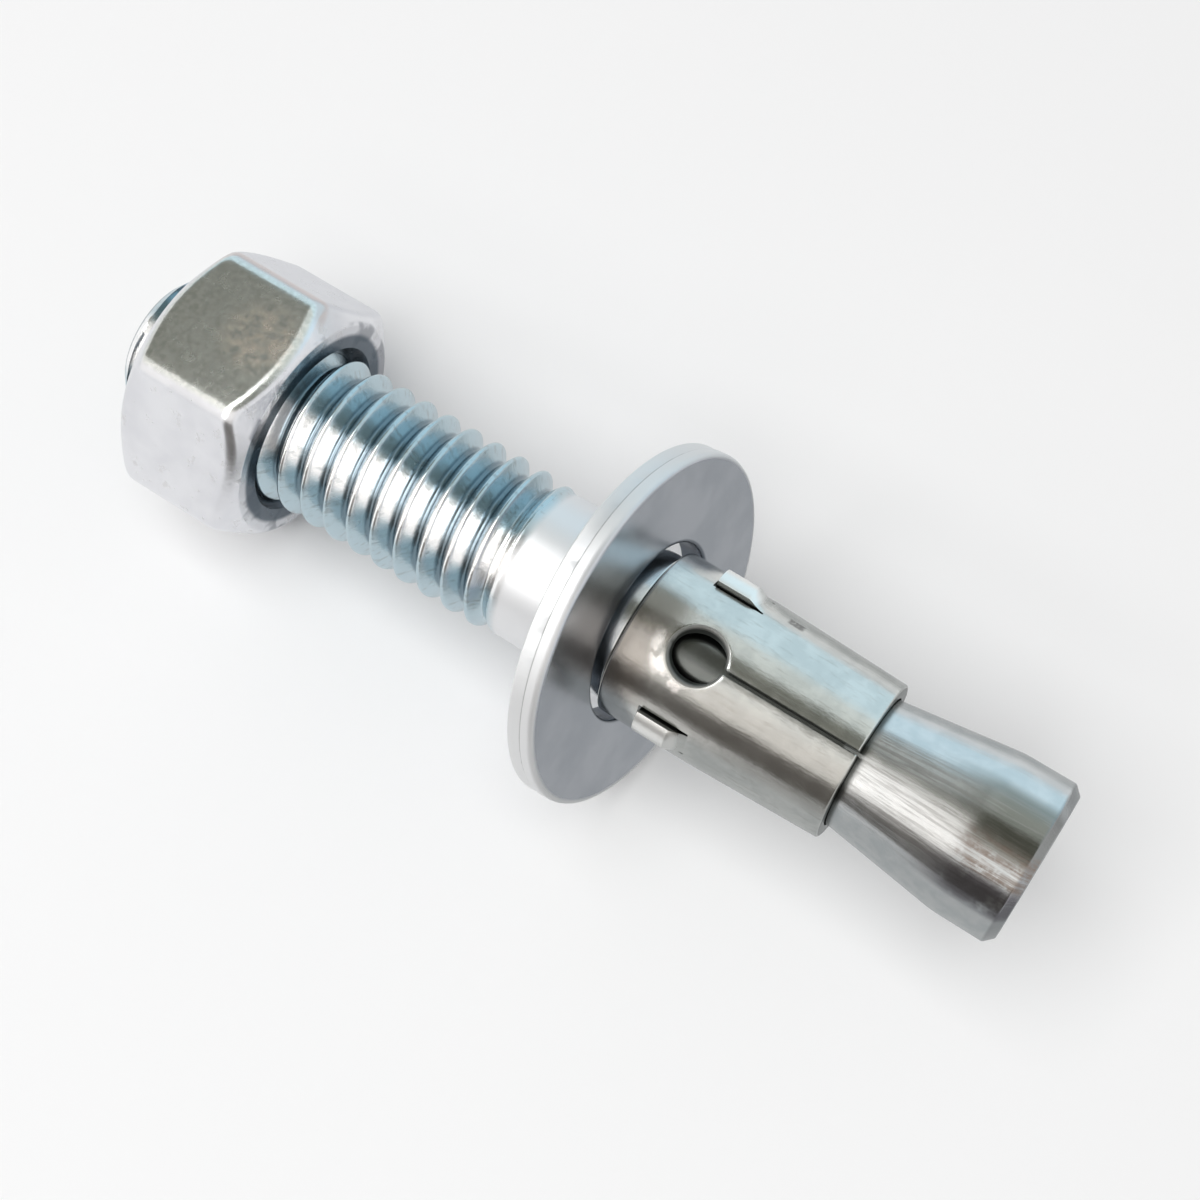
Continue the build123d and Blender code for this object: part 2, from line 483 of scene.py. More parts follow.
def studZinc():
    graph = newGraph("stud_zinc")
    place = partPosition(graph)
    x, y, z, radius = place
    drawn = noiseOf(graph, roundTheAxis(graph, place, *stud["drawnScale"]), *stud["drawn"])
    skin = roundTheAxis(graph, place, *stud["skinScale"])
    cloud = noiseOf(graph, skin, *stud["cloud"])
    grain = noiseOf(graph, skin, *stud["grain"])
    patch = noiseOf(graph, skin, *stud["patch"])
    speck = noiseOf(graph, skin, *stud["speck"]).between(*stud["speckShows"])
    onThread = 1 - x.between(*stud["plainPart"])
    onCollar = (1 - onThread) * (1 - x.between(*stud["pastCollar"]))
    inClip = x.between(*stud["underClip"]) * (1 - x.between(*stud["pastClip"]))
    onCone = x.between(*stud["onCone"])
    onLand = x.between(*stud["onLand"])
    # painted shade in the thread's roots
    rootShade = (1 - radius.between(*stud["rootRadius"])) * onThread
    # a painted dark reflection along the top of the cone, near the land
    oliveReflection = facing(place, *stud["oliveReflectionBand"]) * x.between(*stud["olivePart"])
    # drawing marks, darkened only across the cone's lit side, where they are painted shade between its
    # bright streaks
    streaks = facing(place, *stud["streakBand"]) * onCone
    burnt = facing(place, *stud["burntBand"]) * onLand * patch.between(*stud["burntPatchShows"])
    # a dark band low on the front of the land, in cloudy patches
    darkLand = facing(place, *stud["darkLandBand"]) * x.between(*stud["darkLandPart"])
    tone = painted(graph, cloudy(graph, cloud, stud["steel"]), [(onCollar, stud["collarCoat"])])
    tone = graph.blend(onThread, tone, threadTone(graph, place, speck))
    tone = painted(graph, tone, [
        (oliveReflection * drawn.between(*stud["oliveShows"]), stud["oliveReflectionCoat"]),
        # the cone's painted highlight
        (onCone * facing(place, *stud["coneHighlightBand"]) * (1 - onLand), stud["coneHighlightCoat"]),
        (streaks * drawn.between(*stud["streakShows"]), stud["streakCoat"]),
        # painted shade all round the end bevel
        (x.between(*stud["onBevel"]), stud["bevelShadeCoat"]),
        (burnt * drawn.between(*stud["burntShows"]), stud["burntCoat"]),
        (darkLand * cloud.between(*stud["darkLandShows"]), stud["darkLandCoat"]),
        (rootShade, stud["rootShadeCoat"]),
        (inClip, stud["shadeCoat"]),
    ])
    onSide = x.between(*stud["tipFace"]) * (1 - x.between(*stud["endFace"]))
    blotch = noiseOf(graph, objectSpot(graph), *stud["blotch"])
    tone = graph.blend(onSide, cloudy(graph, blotch, stud["faceTones"]), tone)
    rough = total(stud["roughWeights"], [cloud, onThread, drawn * onCone, onCollar], stud["roughness"])
    height = total(stud["reliefWeights"], [grain, drawn * onCone, cloud, patch * onThread]) * onSide
    height = height + (1 - onSide) * blotch * stud["faceRelief"]
    return platedSteel(graph, stud, tone, rough, height, 1 - onCollar * stud["collarMatt"])


newPiece("threaded_stud", buildStud, "stud", "anchor_stud", studZinc())


nut = {
    "apothem": 7.145,
    "cornerRound": 1.3,
    "faceCircle": 6.62,
    "chamferAngle": 36.0,
    "chamferRound": 0.9,
    "faceRound": 0.12,
    "sinkRadius": 5.2,
    "sinkSlope": 1.02,
    "threadGap": 0.06,             # radial, over the stud's thread
    "flatPoints": 22,              # along each flat
    "cornerPoints": 7,
    # noises: scale, detail and roughness
    "cloud": (330.0, 3.0, 0.55),
    "mottle": (1100.0, 4.0, 0.65),
    "grain": (3400.0, 3.0, 0.6),
    # where a finish or a painted shade starts and where it is full
    "pastBore": (5.85, 6.2),       # from the axis
    "flat": (6.9, 7.1),
    "upperEdge": (6.2, 6.6),
    "farSide": (2.6, 3.6),
    "coneFace": (10.45, 10.6),
    "wornSpot": (8.1, 0.6),        # its middle along the axis and across the top flat
    "wornReach": (1.0, 2.8),
    # how high a noise is where its mark starts to show and where it is full
    "mottleShows": (0.56, 0.72),
    "wornShows": (0.35, 0.6),
    "faceShows": (0.51, 0.59),
    # tones, then coats of strength and tone
    "steel": ((0.70, 0.705, 0.735), (0.77, 0.775, 0.80)),
    # darker olive tones of the top flat, a painted dark reflection, with grain
    "topFlatShadeTones": ((0.62, 0.64, 0.60), (0.76, 0.77, 0.73)),
    "mottleCoat": (0.35, (0.52, 0.50, 0.47)),
    "wornCoat": (1.0, (1.0, 0.90, 0.80)),
    # painted shade on the upper back flat
    "backFlatShadeCoat": (0.7, (0.56, 0.57, 0.61)),
    # painted shade, darker and warmer, on the edge beside the top flat, over its blue reflection
    "upperEdgeShadeCoat": (0.6, (0.60, 0.52, 0.49)),
    "faceCoat": (0.7, (0.22, 0.23, 0.26)),
    "topFlatShadeStrength": 0.8,
    # painted shade, near black, in the bore and its countersink
    "boreShadeCoat": (0.88, (0.05, 0.08, 0.11)),
    "roughness": 0.2,
    "roughWeights": (0.12,),       # mottle
    "reliefWeights": (1.0, 0.5),   # mottle, grain
    "bumpStrength": 0.4,
    "bumpDepth": 0.03,
}
nutEnds = [corner.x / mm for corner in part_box("hex_nut")]


def hexOutline():
    # (angle, radius) points round the hexagon, with flats square to Z and corners on Y
    points = []
    flat = nut["apothem"]
    rounding = nut["cornerRound"]
    cornerOut = (flat - rounding) / cos(pi / 6)
    reach = tan(pi / 6) * (flat - rounding)
    for side in range(6):
        corner = side * pi / 3
        centre = Vector((cos(corner), sin(corner))) * cornerOut
        for step in range(nut["cornerPoints"]):
            turn = corner - pi / 6 + pi / 3 * step / (nut["cornerPoints"] - 1)
            spot = centre + Vector((cos(turn), sin(turn))) * rounding
            points.append((atan2(spot.y, spot.x), spot.length))
        for step in range(1, nut["flatPoints"]):
            aside = -reach + 2 * reach * step / nut["flatPoints"]
            points.append((corner + pi / 6 + atan2(aside, flat), hypot(flat, aside)))
    return sorted((round(angle, 9) % (2 * pi), radius) for angle, radius in points)


def boreRadius(x, offset, angle):
    startX, endX = nutEnds
    sink = nut["sinkRadius"] - nut["sinkSlope"] * min(x - startX, endX - x)
    return max(thread["crestRadius"] - threadDepth(offset) + nut["threadGap"], sink)


def buildNut(shell):
    startX, endX = nutEnds
    outline = hexOutline()
    slope = tan(radians(nut["chamferAngle"]))
    columns = []
    for angle, radius in outline:
        rise = (radius - nut["faceCircle"]) * slope
        profile = roundedProfile([
            (startX, nut["sinkRadius"], 0),
            (startX, nut["faceCircle"], nut["faceRound"]),
            (startX + rise, radius, nut["chamferRound"]),
            (endX - rise, radius, nut["chamferRound"]),
            (endX, nut["faceCircle"], nut["faceRound"]),
            (endX, nut["sinkRadius"], 0),
        ], steps=4)
        columns.append([onAxis(x, spot, angle) for x, spot in profile])
    addGrid(shell, list(zip(*columns)), closed=True)
    addGrid(shell, threadRows(startX, endX, [angle for angle, radius in outline], boreRadius))


def nutZinc():
    graph = newGraph("nut_zinc")
    x, y, z, radius = partPosition(graph)
    spot = objectSpot(graph)
    cloud = noiseOf(graph, spot, *nut["cloud"])
    mottle = noiseOf(graph, spot, *nut["mottle"])
    grain = noiseOf(graph, spot, *nut["grain"])
    topFlat = z.between(*nut["flat"])
    # painted shade on the upper back flat
    backFlatShade = (y * cos(pi / 6) + z * sin(pi / 6)).between(*nut["flat"])
    # painted shade, darker and warmer, on the edge beside the top flat, over its blue reflection
    upperEdge = z.between(*nut["upperEdge"]) * (1 - topFlat) * y.between(*nut["farSide"])
    awayX = x - nut["wornSpot"][0]
    awayY = y - nut["wornSpot"][1]
    worn = 1 - (awayX * awayX + awayY * awayY).root().between(*nut["wornReach"])
    # the top flat's darker olive tone is a painted dark reflection, with grain and the worn spot on it
    topFlatShadeTone = painted(graph, cloudy(graph, grain, nut["topFlatShadeTones"]), [
        (worn * mottle.between(*nut["wornShows"]), nut["wornCoat"]),
    ])
    tone = painted(graph, cloudy(graph, cloud, nut["steel"]), [
        (mottle.between(*nut["mottleShows"]), nut["mottleCoat"]),
        (backFlatShade, nut["backFlatShadeCoat"]),
        (upperEdge, nut["upperEdgeShadeCoat"]),
        (x.between(*nut["coneFace"]) * cloud.between(*nut["faceShows"]), nut["faceCoat"]),
        (topFlat, (nut["topFlatShadeStrength"], topFlatShadeTone)),
        # painted shade, near black, in the bore and its countersink
        (1 - radius.between(*nut["pastBore"]), nut["boreShadeCoat"]),
    ])
    rough = total(nut["roughWeights"], [mottle], nut["roughness"])
    return platedSteel(graph, nut, tone, rough, total(nut["reliefWeights"], [mottle, grain]))


newPiece("hexagon_nut", buildNut, "nut", "hex_nut", nutZinc())


washer = {
    "radius": 10.45,
    "boreRadius": 5.3,
    "thickness": 1.65,
    "rolledEdge": 0.36,            # on the side that faces the cone
    "sharpEdge": 0.1,
    "boreEdge": 0.22,
    "shearLine": 0.78,             # from the rolled side to where the rim tore
    "shearStep": 0.05,
    "shearRounds": (0.03, 0.02),   # above and below the step
    "tearTaper": 0.4,              # how much of the step is left at the sharp edge
    "boreWaist": 0.02,             # how much wider the bore is at the sharp edge
    "waistRound": 0.05,
    "faceRing": 1.5,               # a row of points on the face, out from the bore
    "tornHeight": 0.03,
    "tornMargin": 0.2,             # from the sharp side
    "tornScale": (3.0, 40.0),      # along and round
    "columns": 192,
    # noises: scale, detail and roughness
    "cloud": (230.0, 3.0, 0.55),
    "grain": (2600.0, 4.0, 0.6),
    # where a finish or a painted shade starts and where it is full, from the washer's own middle
    "rim": (10.1, 10.3),
    "pastBore": (5.42, 5.58),
    "lineShift": 0.04,
    "lineEdge": (0.02, 0.07),      # to each side of the middle of the shear line
    # tones, then coats of strength and tone
    "steel": ((0.50, 0.525, 0.57), (0.58, 0.60, 0.645)),
    "rimCoat": (1.0, (0.72, 0.725, 0.73)),
    "lineCoat": (0.7, (0.30, 0.30, 0.30)),
    # painted shade, near black, on the bore's wall
    "boreShadeCoat": (0.85, (0.10, 0.12, 0.15)),
    "roughness": 0.2,
    "roughWeights": (0.1, 0.25),   # cloud, rim
    "reliefWeights": (1.0, 0.3),   # cloud, grain
    "bumpStrength": 0.3,
    "bumpDepth": 0.04,
    "rimMatt": 0.3,                # how far the rim is from bare metal
}


def washerSeat():
    # the washer's face is one of the record's mounts, which gives its place and its lean
    face = next(mount for mount in frame["record"]["mounts"] if mount["name"] == "washer_face")
    return face["pos_m"][0] / mm, Vector(face["axis"])


def tornRim(x, radius, angle):
    # the part of the rim that tore is a little uneven
    low = -washer["thickness"] + washer["tornMargin"]
    high = -washer["shearLine"] - washer["shearStep"]
    along, around = washer["tornScale"]
    torn = 1 if low < x < high and radius > washer["radius"] - 1 else 0
    return torn * washer["tornHeight"] * (noise.noise(Vector((x * along, angle * around, 0))) - 0.5)


def buildWasher(shell):
    out, bore, thick = washer["radius"], washer["boreRadius"], washer["thickness"]
    line, step = washer["shearLine"], washer["shearStep"]
    upper, lower = washer["shearRounds"]
    profile = roundedProfile([
        (0, bore + washer["faceRing"], 0),
        (0, out, washer["rolledEdge"]),
        (-line, out, upper),
        (-line - upper, out - step, lower),
        (-thick, out - step * washer["tearTaper"], washer["sharpEdge"]),
        (-thick, bore + washer["boreWaist"], washer["sharpEdge"]),
        (-thick * 0.5, bore, washer["waistRound"]),
        (0, bore, washer["boreEdge"]),
        (0, bore + washer["faceRing"], 0),
    ], hold=0.015)
    addTurned(shell, profile, evenAngles(washer["columns"]), tornRim)
    faceX, normal = washerSeat()
    lean = Matrix.Rotation(-atan2(normal.z, normal.x), 4, "Y")
    shell.transform(Matrix.Translation((faceX, 0, 0)) @ lean)


def washerZinc():
    graph = newGraph("washer_zinc")
    x, y, z, radius = partPosition(graph)
    faceX, normal = washerSeat()
    along = x - (faceX - washer["thickness"] / 2)
    own = (along * along + y * y + z * z).root()     # from the washer's own middle
    level = x * normal.x + z * normal.z - faceX * normal.x     # along its own axis, from its face
    line = level + (washer["shearLine"] + washer["lineShift"])
    near, far = washer["lineEdge"]
    onLine = line.between(-far, -near) * (1 - line.between(near, far))
    spot = objectSpot(graph)
    cloud = noiseOf(graph, spot, *washer["cloud"])
    grain = noiseOf(graph, spot, *washer["grain"])
    onRim = own.between(*washer["rim"])
    tone = painted(graph, cloudy(graph, cloud, washer["steel"]), [
        (onRim, washer["rimCoat"]),
        (onRim * onLine, washer["lineCoat"]),
        # painted shade, near black, on the bore's wall
        (1 - own.between(*washer["pastBore"]), washer["boreShadeCoat"]),
    ])
    rough = total(washer["roughWeights"], [cloud, onRim], washer["roughness"])
    height = total(washer["reliefWeights"], [cloud, grain])
    return platedSteel(graph, washer, tone, rough, height, 1 - onRim * washer["rimMatt"])


newPiece("flat_washer", buildWasher, "washer", "washer", washerZinc())


clip = {
    "thickness": 0.75,
    "innerRadius": 4.15,
    "bend": 5.5,                   # from the ring's end to where the leaves start to close in
    "leafClose": 0.275,            # how far the leaf ends have come in
    "firstHole": 104.6,            # angle about +X, from +Y towards +Z
    "leaves": 3,
    "holeStation": 4.0,            # stations run from the ring's end
    "holeRadius": 1.5,
    "holeRoll": 0.2,
    "slotWidth": 0.26,
    "seamWidth": 0.32,
    "seamSides": ((1, 1), (2, -1)),    # leaf and side of each, where the two ends of the blank meet
    "slotRoll": 0.06,
    "endRoll": 0.12,
    "nubWidth": 1.7,
    "nubFlat": 1.9,
    "nubRamp": 1.0,
    "nubHeight": 0.6,
    "nubCrown": 0.45,              # how much lower the nub's sides are than its middle
    "nubEase": 0.6,                # how fast the ramp comes up to the flat
    "shearGap": 0.14,
    "calmHalf": 20.0,              # each side of a nub, where the columns stay straight
    # columns, as shares of the nub's half width and of the sheet between the calm part and its edge
    "nubColumns": (0, 0.35, 0.7, 0.9, 1),
    "edgeColumns": (0.15, 0.3, 0.45, 0.6, 0.72, 0.82, 0.9, 0.94, 0.97, 0.985, 1),
    # rows, by their station
    "endRows": (0, 0.03, 0.07, 0.13, 0.2),     # the same from both ends
    "plainRows": (0.5, 1.0, 1.5, 2.0, 2.3, 5.6, 5.8),
    "nubRows": (0, 0.08),          # from where the nub starts
    "rampRows": (-0.3, -0.15, 0, 0.15),    # from where its ramp starts
    "nubEndRows": (-0.2, 0),       # from where it ends
    "holeRows": 22,
    "leafRows": (6.2, 0.5, 0.4),   # the first, their distance, and what stays free before the end
    "rowGap": 0.018,               # rows that lie closer are left out
    # noises: scale, detail and roughness
    "drawn": (2.2, 4.0, 0.6),
    "cloud": (0.8, 3.0, 0.55),
    "grain": (5.0, 4.0, 0.6),
    "drawnScale": (0.3, 8.0),      # along and round
    "skinScale": (1.0, 4.5),
    # where a finish, a painted shade or a painted highlight starts and where it is full, from the axis
    "nubTop": (4.98, 5.2),
    # and along it
    "pastRing": (34.6, 36.4),
    "pastShade": (34.6, 35.6),
    "scratchStart": (39.9, 40.1),
    "scratchEnd": (40.8, 41.0),
    "dentHighlightEnd": (37.2, 37.9),
    "pastShoulder": (33.42, 33.5),
    # and from the middle of a hole
    "rim": (1.62, 1.7),
    "dentHighlightInner": (1.65, 1.85),
    "dentHighlightOuter": (2.2, 2.7),
    # how high a noise is where its mark starts to show and where it is full
    "drawnShows": (0.52, 0.72),
    "scratchShows": (0.3, 0.5),
    "dentHighlightShows": (0.42, 0.55),
    # bands round the clip: their angle, full within, gone at
    # painted shade on the clip's lower front
    "lowerShadeBand": (136, 14, 26),
    # painted shade on the ring's front
    "ringShadeBand": (116, 28, 48),
    # a painted dark reflection, a thin band along the top of the ring
    "ringReflectionBand": (89, 4, 14),
    "shadeBand": (25, 12, 28),
    "scratchBand": (45, 2.5, 4.5),
    # painted highlight in patches round the holes, where the sheet is dented; the dents have no relief
    "dentHighlightBand": (128, 20, 30),
    # tones, then coats of strength and tone
    "steel": ((0.60, 0.615, 0.60), (0.69, 0.70, 0.68)),
    "drawnCoat": (0.4, (0.42, 0.41, 0.38)),
    "lowerShadeCoat": (0.55, (0.44, 0.42, 0.39)),
    "ringShadeCoat": (0.85, (0.36, 0.33, 0.30)),
    "lineCoat": (0.75, (0.26, 0.26, 0.24)),
    "shadeCoat": (0.8, (0.12, 0.15, 0.18)),
    "scratchCoat": (0.8, (0.15, 0.15, 0.15)),
    # the nub's crown painted near white, a painted highlight
    "nubHighlightCoat": (0.85, (0.92, 0.92, 0.90)),
    "dentHighlightCoat": (1.0, (0.86, 0.83, 0.80)),
    # painted shade, dark, on the rolled rim of each hole
    "rimCoat": (0.85, (0.20, 0.20, 0.19)),
    # painted shade, near black, on the sheared walls and inside
    "cutShadeCoat": (0.85, (0.07, 0.08, 0.075)),
    "roughness": 0.15,
    "roughWeights": (0.07, 0.08, 0.15, 0.4),   # cloud, drawn, nub, rim of a hole
    "reliefWeights": (0.4, 0.8, 0.7),          # grain, drawn, cloud
    "bumpStrength": 0.35,
    "bumpDepth": 0.03,
}
clipStart, clipEnd = [corner.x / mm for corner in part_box("expansion_clip")]
clipLength = clipEnd - clipStart
nubStart = clip["holeStation"] - (clip["nubFlat"] + clip["nubRamp"]) / 2
rampStart = nubStart + clip["nubFlat"]
nubEnd = rampStart + clip["nubRamp"]

# angles, measured on the ring's outer skin
ringRadius = clip["innerRadius"] + clip["thickness"]
leafHalf = pi / clip["leaves"]
nubHalf = clip["nubWidth"] / 2 / ringRadius
gapHalf = nubHalf + clip["shearGap"] / ringRadius
calm = radians(clip["calmHalf"])
calmColumns = [nubHalf * share for share in clip["nubColumns"]] + [gapHalf, (gapHalf + calm) / 2, calm]


def clipStations():
    # rows along the clip, close together at its ends, round the hole and on the nub
    hole, radius, count = clip["holeStation"], clip["holeRadius"], clip["holeRows"]
    rows = [hole - radius * cos(pi * step / count) for step in range(count + 1)]
    rows.append(nubStart - clip["shearGap"])
    for start, steps in ((nubStart, "nubRows"), (rampStart, "rampRows"), (nubEnd, "nubEndRows")):
        rows += [start + step for step in clip[steps]]
    rows += clip["endRows"]
    rows += [clipLength - row for row in clip["endRows"]]
    rows += clip["plainRows"]
    spot, distance, free = clip["leafRows"]
    while spot < clipLength - free:
        rows.append(spot)
        spot += distance
    kept = []
    for row in sorted(round(row, 4) for row in rows):
        if not kept or row - kept[-1] > clip["rowGap"]:
            kept.append(row)
    return kept


def nubLift(station):
    if not nubStart <= station <= nubEnd:
        return 0
    share = min(max((nubEnd - station) / (nubEnd - rampStart), 0), 1)
    return clip["nubHeight"] * share * share * (3 - 2 * share) ** clip["nubEase"]


def rolledOver(distance, radius):
    # how far an edge's rounding has fallen, at a distance in from the edge
    if distance >= radius:
        return 0
    return radius - sqrt(max(radius * radius - (radius - distance) ** 2, 0))


class HalfLeaf:
    # the sheet from the middle of a nub to the slot or the seam on one side of it
    def __init__(self, leaf, side):
        self.middle = radians(clip["firstHole"]) + leafHalf * (2 * leaf + 1)
        self.side = side
        self.seam = (leaf, side) in clip["seamSides"]
        self.slotHalf = (clip["seamWidth"] if self.seam else clip["slotWidth"]) / 2

    def edgeAt(self, station):
        off = station - clip["holeStation"]
        away = self.slotHalf if off >= 0 or self.seam else 0
        if abs(off) < clip["holeRadius"]:
            away = max(away, sqrt(clip["holeRadius"] ** 2 - off * off))
        return leafHalf - away / ringRadius

    def asideOf(self, column, station):
        # a column's angle from the middle of the nub
        if column < len(calmColumns):
            return calmColumns[column]
        share = clip["edgeColumns"][column - len(calmColumns)]
        return calm + (self.edgeAt(station) - calm) * share

    def dropAt(self, station, aside):
        # the hole, the slot and the two ends each have their own rounding
        gap = (leafHalf - aside) * ringRadius
        off = station - clip["holeStation"]
        drops = [
            rolledOver(hypot(off, gap) - clip["holeRadius"], clip["holeRoll"]),
            rolledOver(station, clip["endRoll"]),
            rolledOver(clipLength - station, clip["endRoll"]),
        ]
        if off > clip["holeRadius"] or self.seam:
            drops.append(rolledOver(gap - self.slotHalf, clip["slotRoll"]))
        return max(drops)

    def point(self, column, station, level, lifted):
        # level 0 is the inner skin and 1 the outer one
        aside = self.asideOf(column, station)
        fall = max(station - clip["bend"], 0) / (clipLength - clip["bend"]) * clip["leafClose"]
        radius = clip["innerRadius"] - fall + clip["thickness"] * level
        if level:
            radius -= self.dropAt(station, aside)
        if lifted:
            radius += nubLift(station) * (1 - clip["nubCrown"] * (aside / nubHalf) ** 2)
        return onAxis(clipStart + station, radius, self.middle + self.side * aside)


def addHalfLeaf(shell, half, cut):
    # both skins, with a window sheared round the nub on three sides
    stations = clipStations()
    tabColumns = len(clip["nubColumns"]) - 1
    for here, after in zip(stations, stations[1:]):
        middle = (here + after) / 2
        for column in range(len(calmColumns) + len(clip["edgeColumns"]) - 1):
            inWindow = nubStart - clip["shearGap"] < middle < nubEnd and column <= tabColumns
            onTab = nubStart < middle < nubEnd and column < tabColumns
            if inWindow and not onTab:
                continue
            corners = ((column, here), (column + 1, here), (column + 1, after), (column, after))
            for level in (0, 1):
                made = [shell.verts.new(half.point(*corner, level, onTab)) for corner in corners]
                face = shell.faces.new(made)
                face.material_index = level
                face[cut] = 1 - level


def buildClip(shell):
    cut = shell.faces.layers.float.new("cut")      # 1 on sheared walls and inside, where painted shade goes
    for leaf in range(clip["leaves"]):
        for side in (-1, 1):
            addHalfLeaf(shell, HalfLeaf(leaf, side), cut)
    bmesh.ops.remove_doubles(shell, verts=shell.verts, dist=meshing["mergeWithin"])
    wallOff(shell, cut)


def wallOff(shell, cut):
    # joins the open edges of the outer skin to those of the inner skin below them
    rims = [edge for edge in shell.edges if len(edge.link_faces) == 1]
    outerRims = [edge for edge in rims if edge.link_faces[0].material_index == 1]
    innerPoints = {}
    for edge in rims:
        if edge.link_faces[0].material_index == 0:
            for vert in edge.verts:
                innerPoints.setdefault(keyOf(vert.co), []).append(vert)
    for edge in outerRims:
        first, second = edge.verts
        under, nextUnder = [nearestBelow(vert, innerPoints) for vert in edge.verts]
        if None in (under, nextUnder) or under == nextUnder:
            continue
        wall = shell.faces.new((first, second, nextUnder, under))
        wall[cut] = 1
    for face in shell.faces:
        face.material_index = 0


def keyOf(spot):
    return (round(spot.x, 3), round(atan2(spot.z, spot.y), 4))


def nearestBelow(vert, innerPoints):
    # the inner point at the same place along and round the clip, about one sheet's thickness in
    found = innerPoints.get(keyOf(vert.co), [])
    radius = hypot(vert.co.y, vert.co.z)
    return min(
        found,
        key=lambda other: abs(radius - hypot(other.co.y, other.co.z) - clip["thickness"]),
        default=None,
    )


def fromHole(place, angle):
    # distance over the rolled sheet from the middle of the hole at this angle
    x, y, z, radius = place
    along = x - (clipStart + clip["holeStation"])
    aside = z * cos(radians(angle)) - y * sin(radians(angle))
    front = (y * cos(radians(angle)) + z * sin(radians(angle))).between(-0.1, 0.1)
    return (along * along + aside * aside).root() + (1 - front) * 20     # far off on the other side


def clipZinc():
    graph = newGraph("clip_zinc")
    place = partPosition(graph)
    x, y, z, radius = place
    drawn = noiseOf(graph, roundTheAxis(graph, place, *clip["drawnScale"]), *clip["drawn"])
    skin = roundTheAxis(graph, place, *clip["skinScale"])
    cloud = noiseOf(graph, skin, *clip["cloud"])
    grain = noiseOf(graph, skin, *clip["grain"])
    cut = graph.make("ShaderNodeAttribute", {"attribute_name": "cut"}, outlet="Fac")
    onNub = radius.between(*clip["nubTop"])
    onRing = 1 - x.between(*clip["pastRing"])
    scratch = facing(place, *clip["scratchBand"]) * grain.between(*clip["scratchShows"])
    scratch = scratch * x.between(*clip["scratchStart"]) * (1 - x.between(*clip["scratchEnd"]))
    coats = [
        (drawn.between(*clip["drawnShows"]), clip["drawnCoat"]),
        # painted shade on the clip's lower front
        (facing(place, *clip["lowerShadeBand"]), clip["lowerShadeCoat"]),
        # painted shade on the ring's front
        (onRing * facing(place, *clip["ringShadeBand"]), clip["ringShadeCoat"]),
        # a painted dark reflection, a thin band along the top of the ring
        (onRing * facing(place, *clip["ringReflectionBand"]), clip["lineCoat"]),
        (facing(place, *clip["shadeBand"]) * (1 - x.between(*clip["pastShade"])), clip["shadeCoat"]),
        (scratch, clip["scratchCoat"]),
        # the nub's crown painted near white, a painted highlight
        (onNub, clip["nubHighlightCoat"]),
    ]
    # painted highlight in patches round the holes, where the sheet is dented; the dents have no relief
    dentHighlights = facing(place, *clip["dentHighlightBand"]) * cloud.between(*clip["dentHighlightShows"])
    dentHighlights = dentHighlights * (1 - x.between(*clip["dentHighlightEnd"]))
    rim = 0
    for leaf in range(clip["leaves"]):
        away = fromHole(place, clip["firstHole"] + leaf * 360 / clip["leaves"])
        dentHighlight = away.between(*clip["dentHighlightInner"]) * (1 - away.between(*clip["dentHighlightOuter"])) * dentHighlights
        # painted shade, dark, on the rolled rim of each hole
        onRim = 1 - away.between(*clip["rim"])
        coats += [(dentHighlight, clip["dentHighlightCoat"]), (onRim, clip["rimCoat"])]
        rim = rim + onRim
    # painted shade, near black, on the sheared walls and inside
    coats.append((cut * x.between(*clip["pastShoulder"]), clip["cutShadeCoat"]))
    tone = painted(graph, cloudy(graph, cloud, clip["steel"]), coats)
    rough = total(clip["roughWeights"], [cloud, drawn, onNub, rim], clip["roughness"])
    height = total(clip["reliefWeights"], [grain, drawn, cloud])
    return platedSteel(graph, clip, tone, rough, height)


newPiece("split_clip", buildClip, "clip", "expansion_clip", clipZinc())


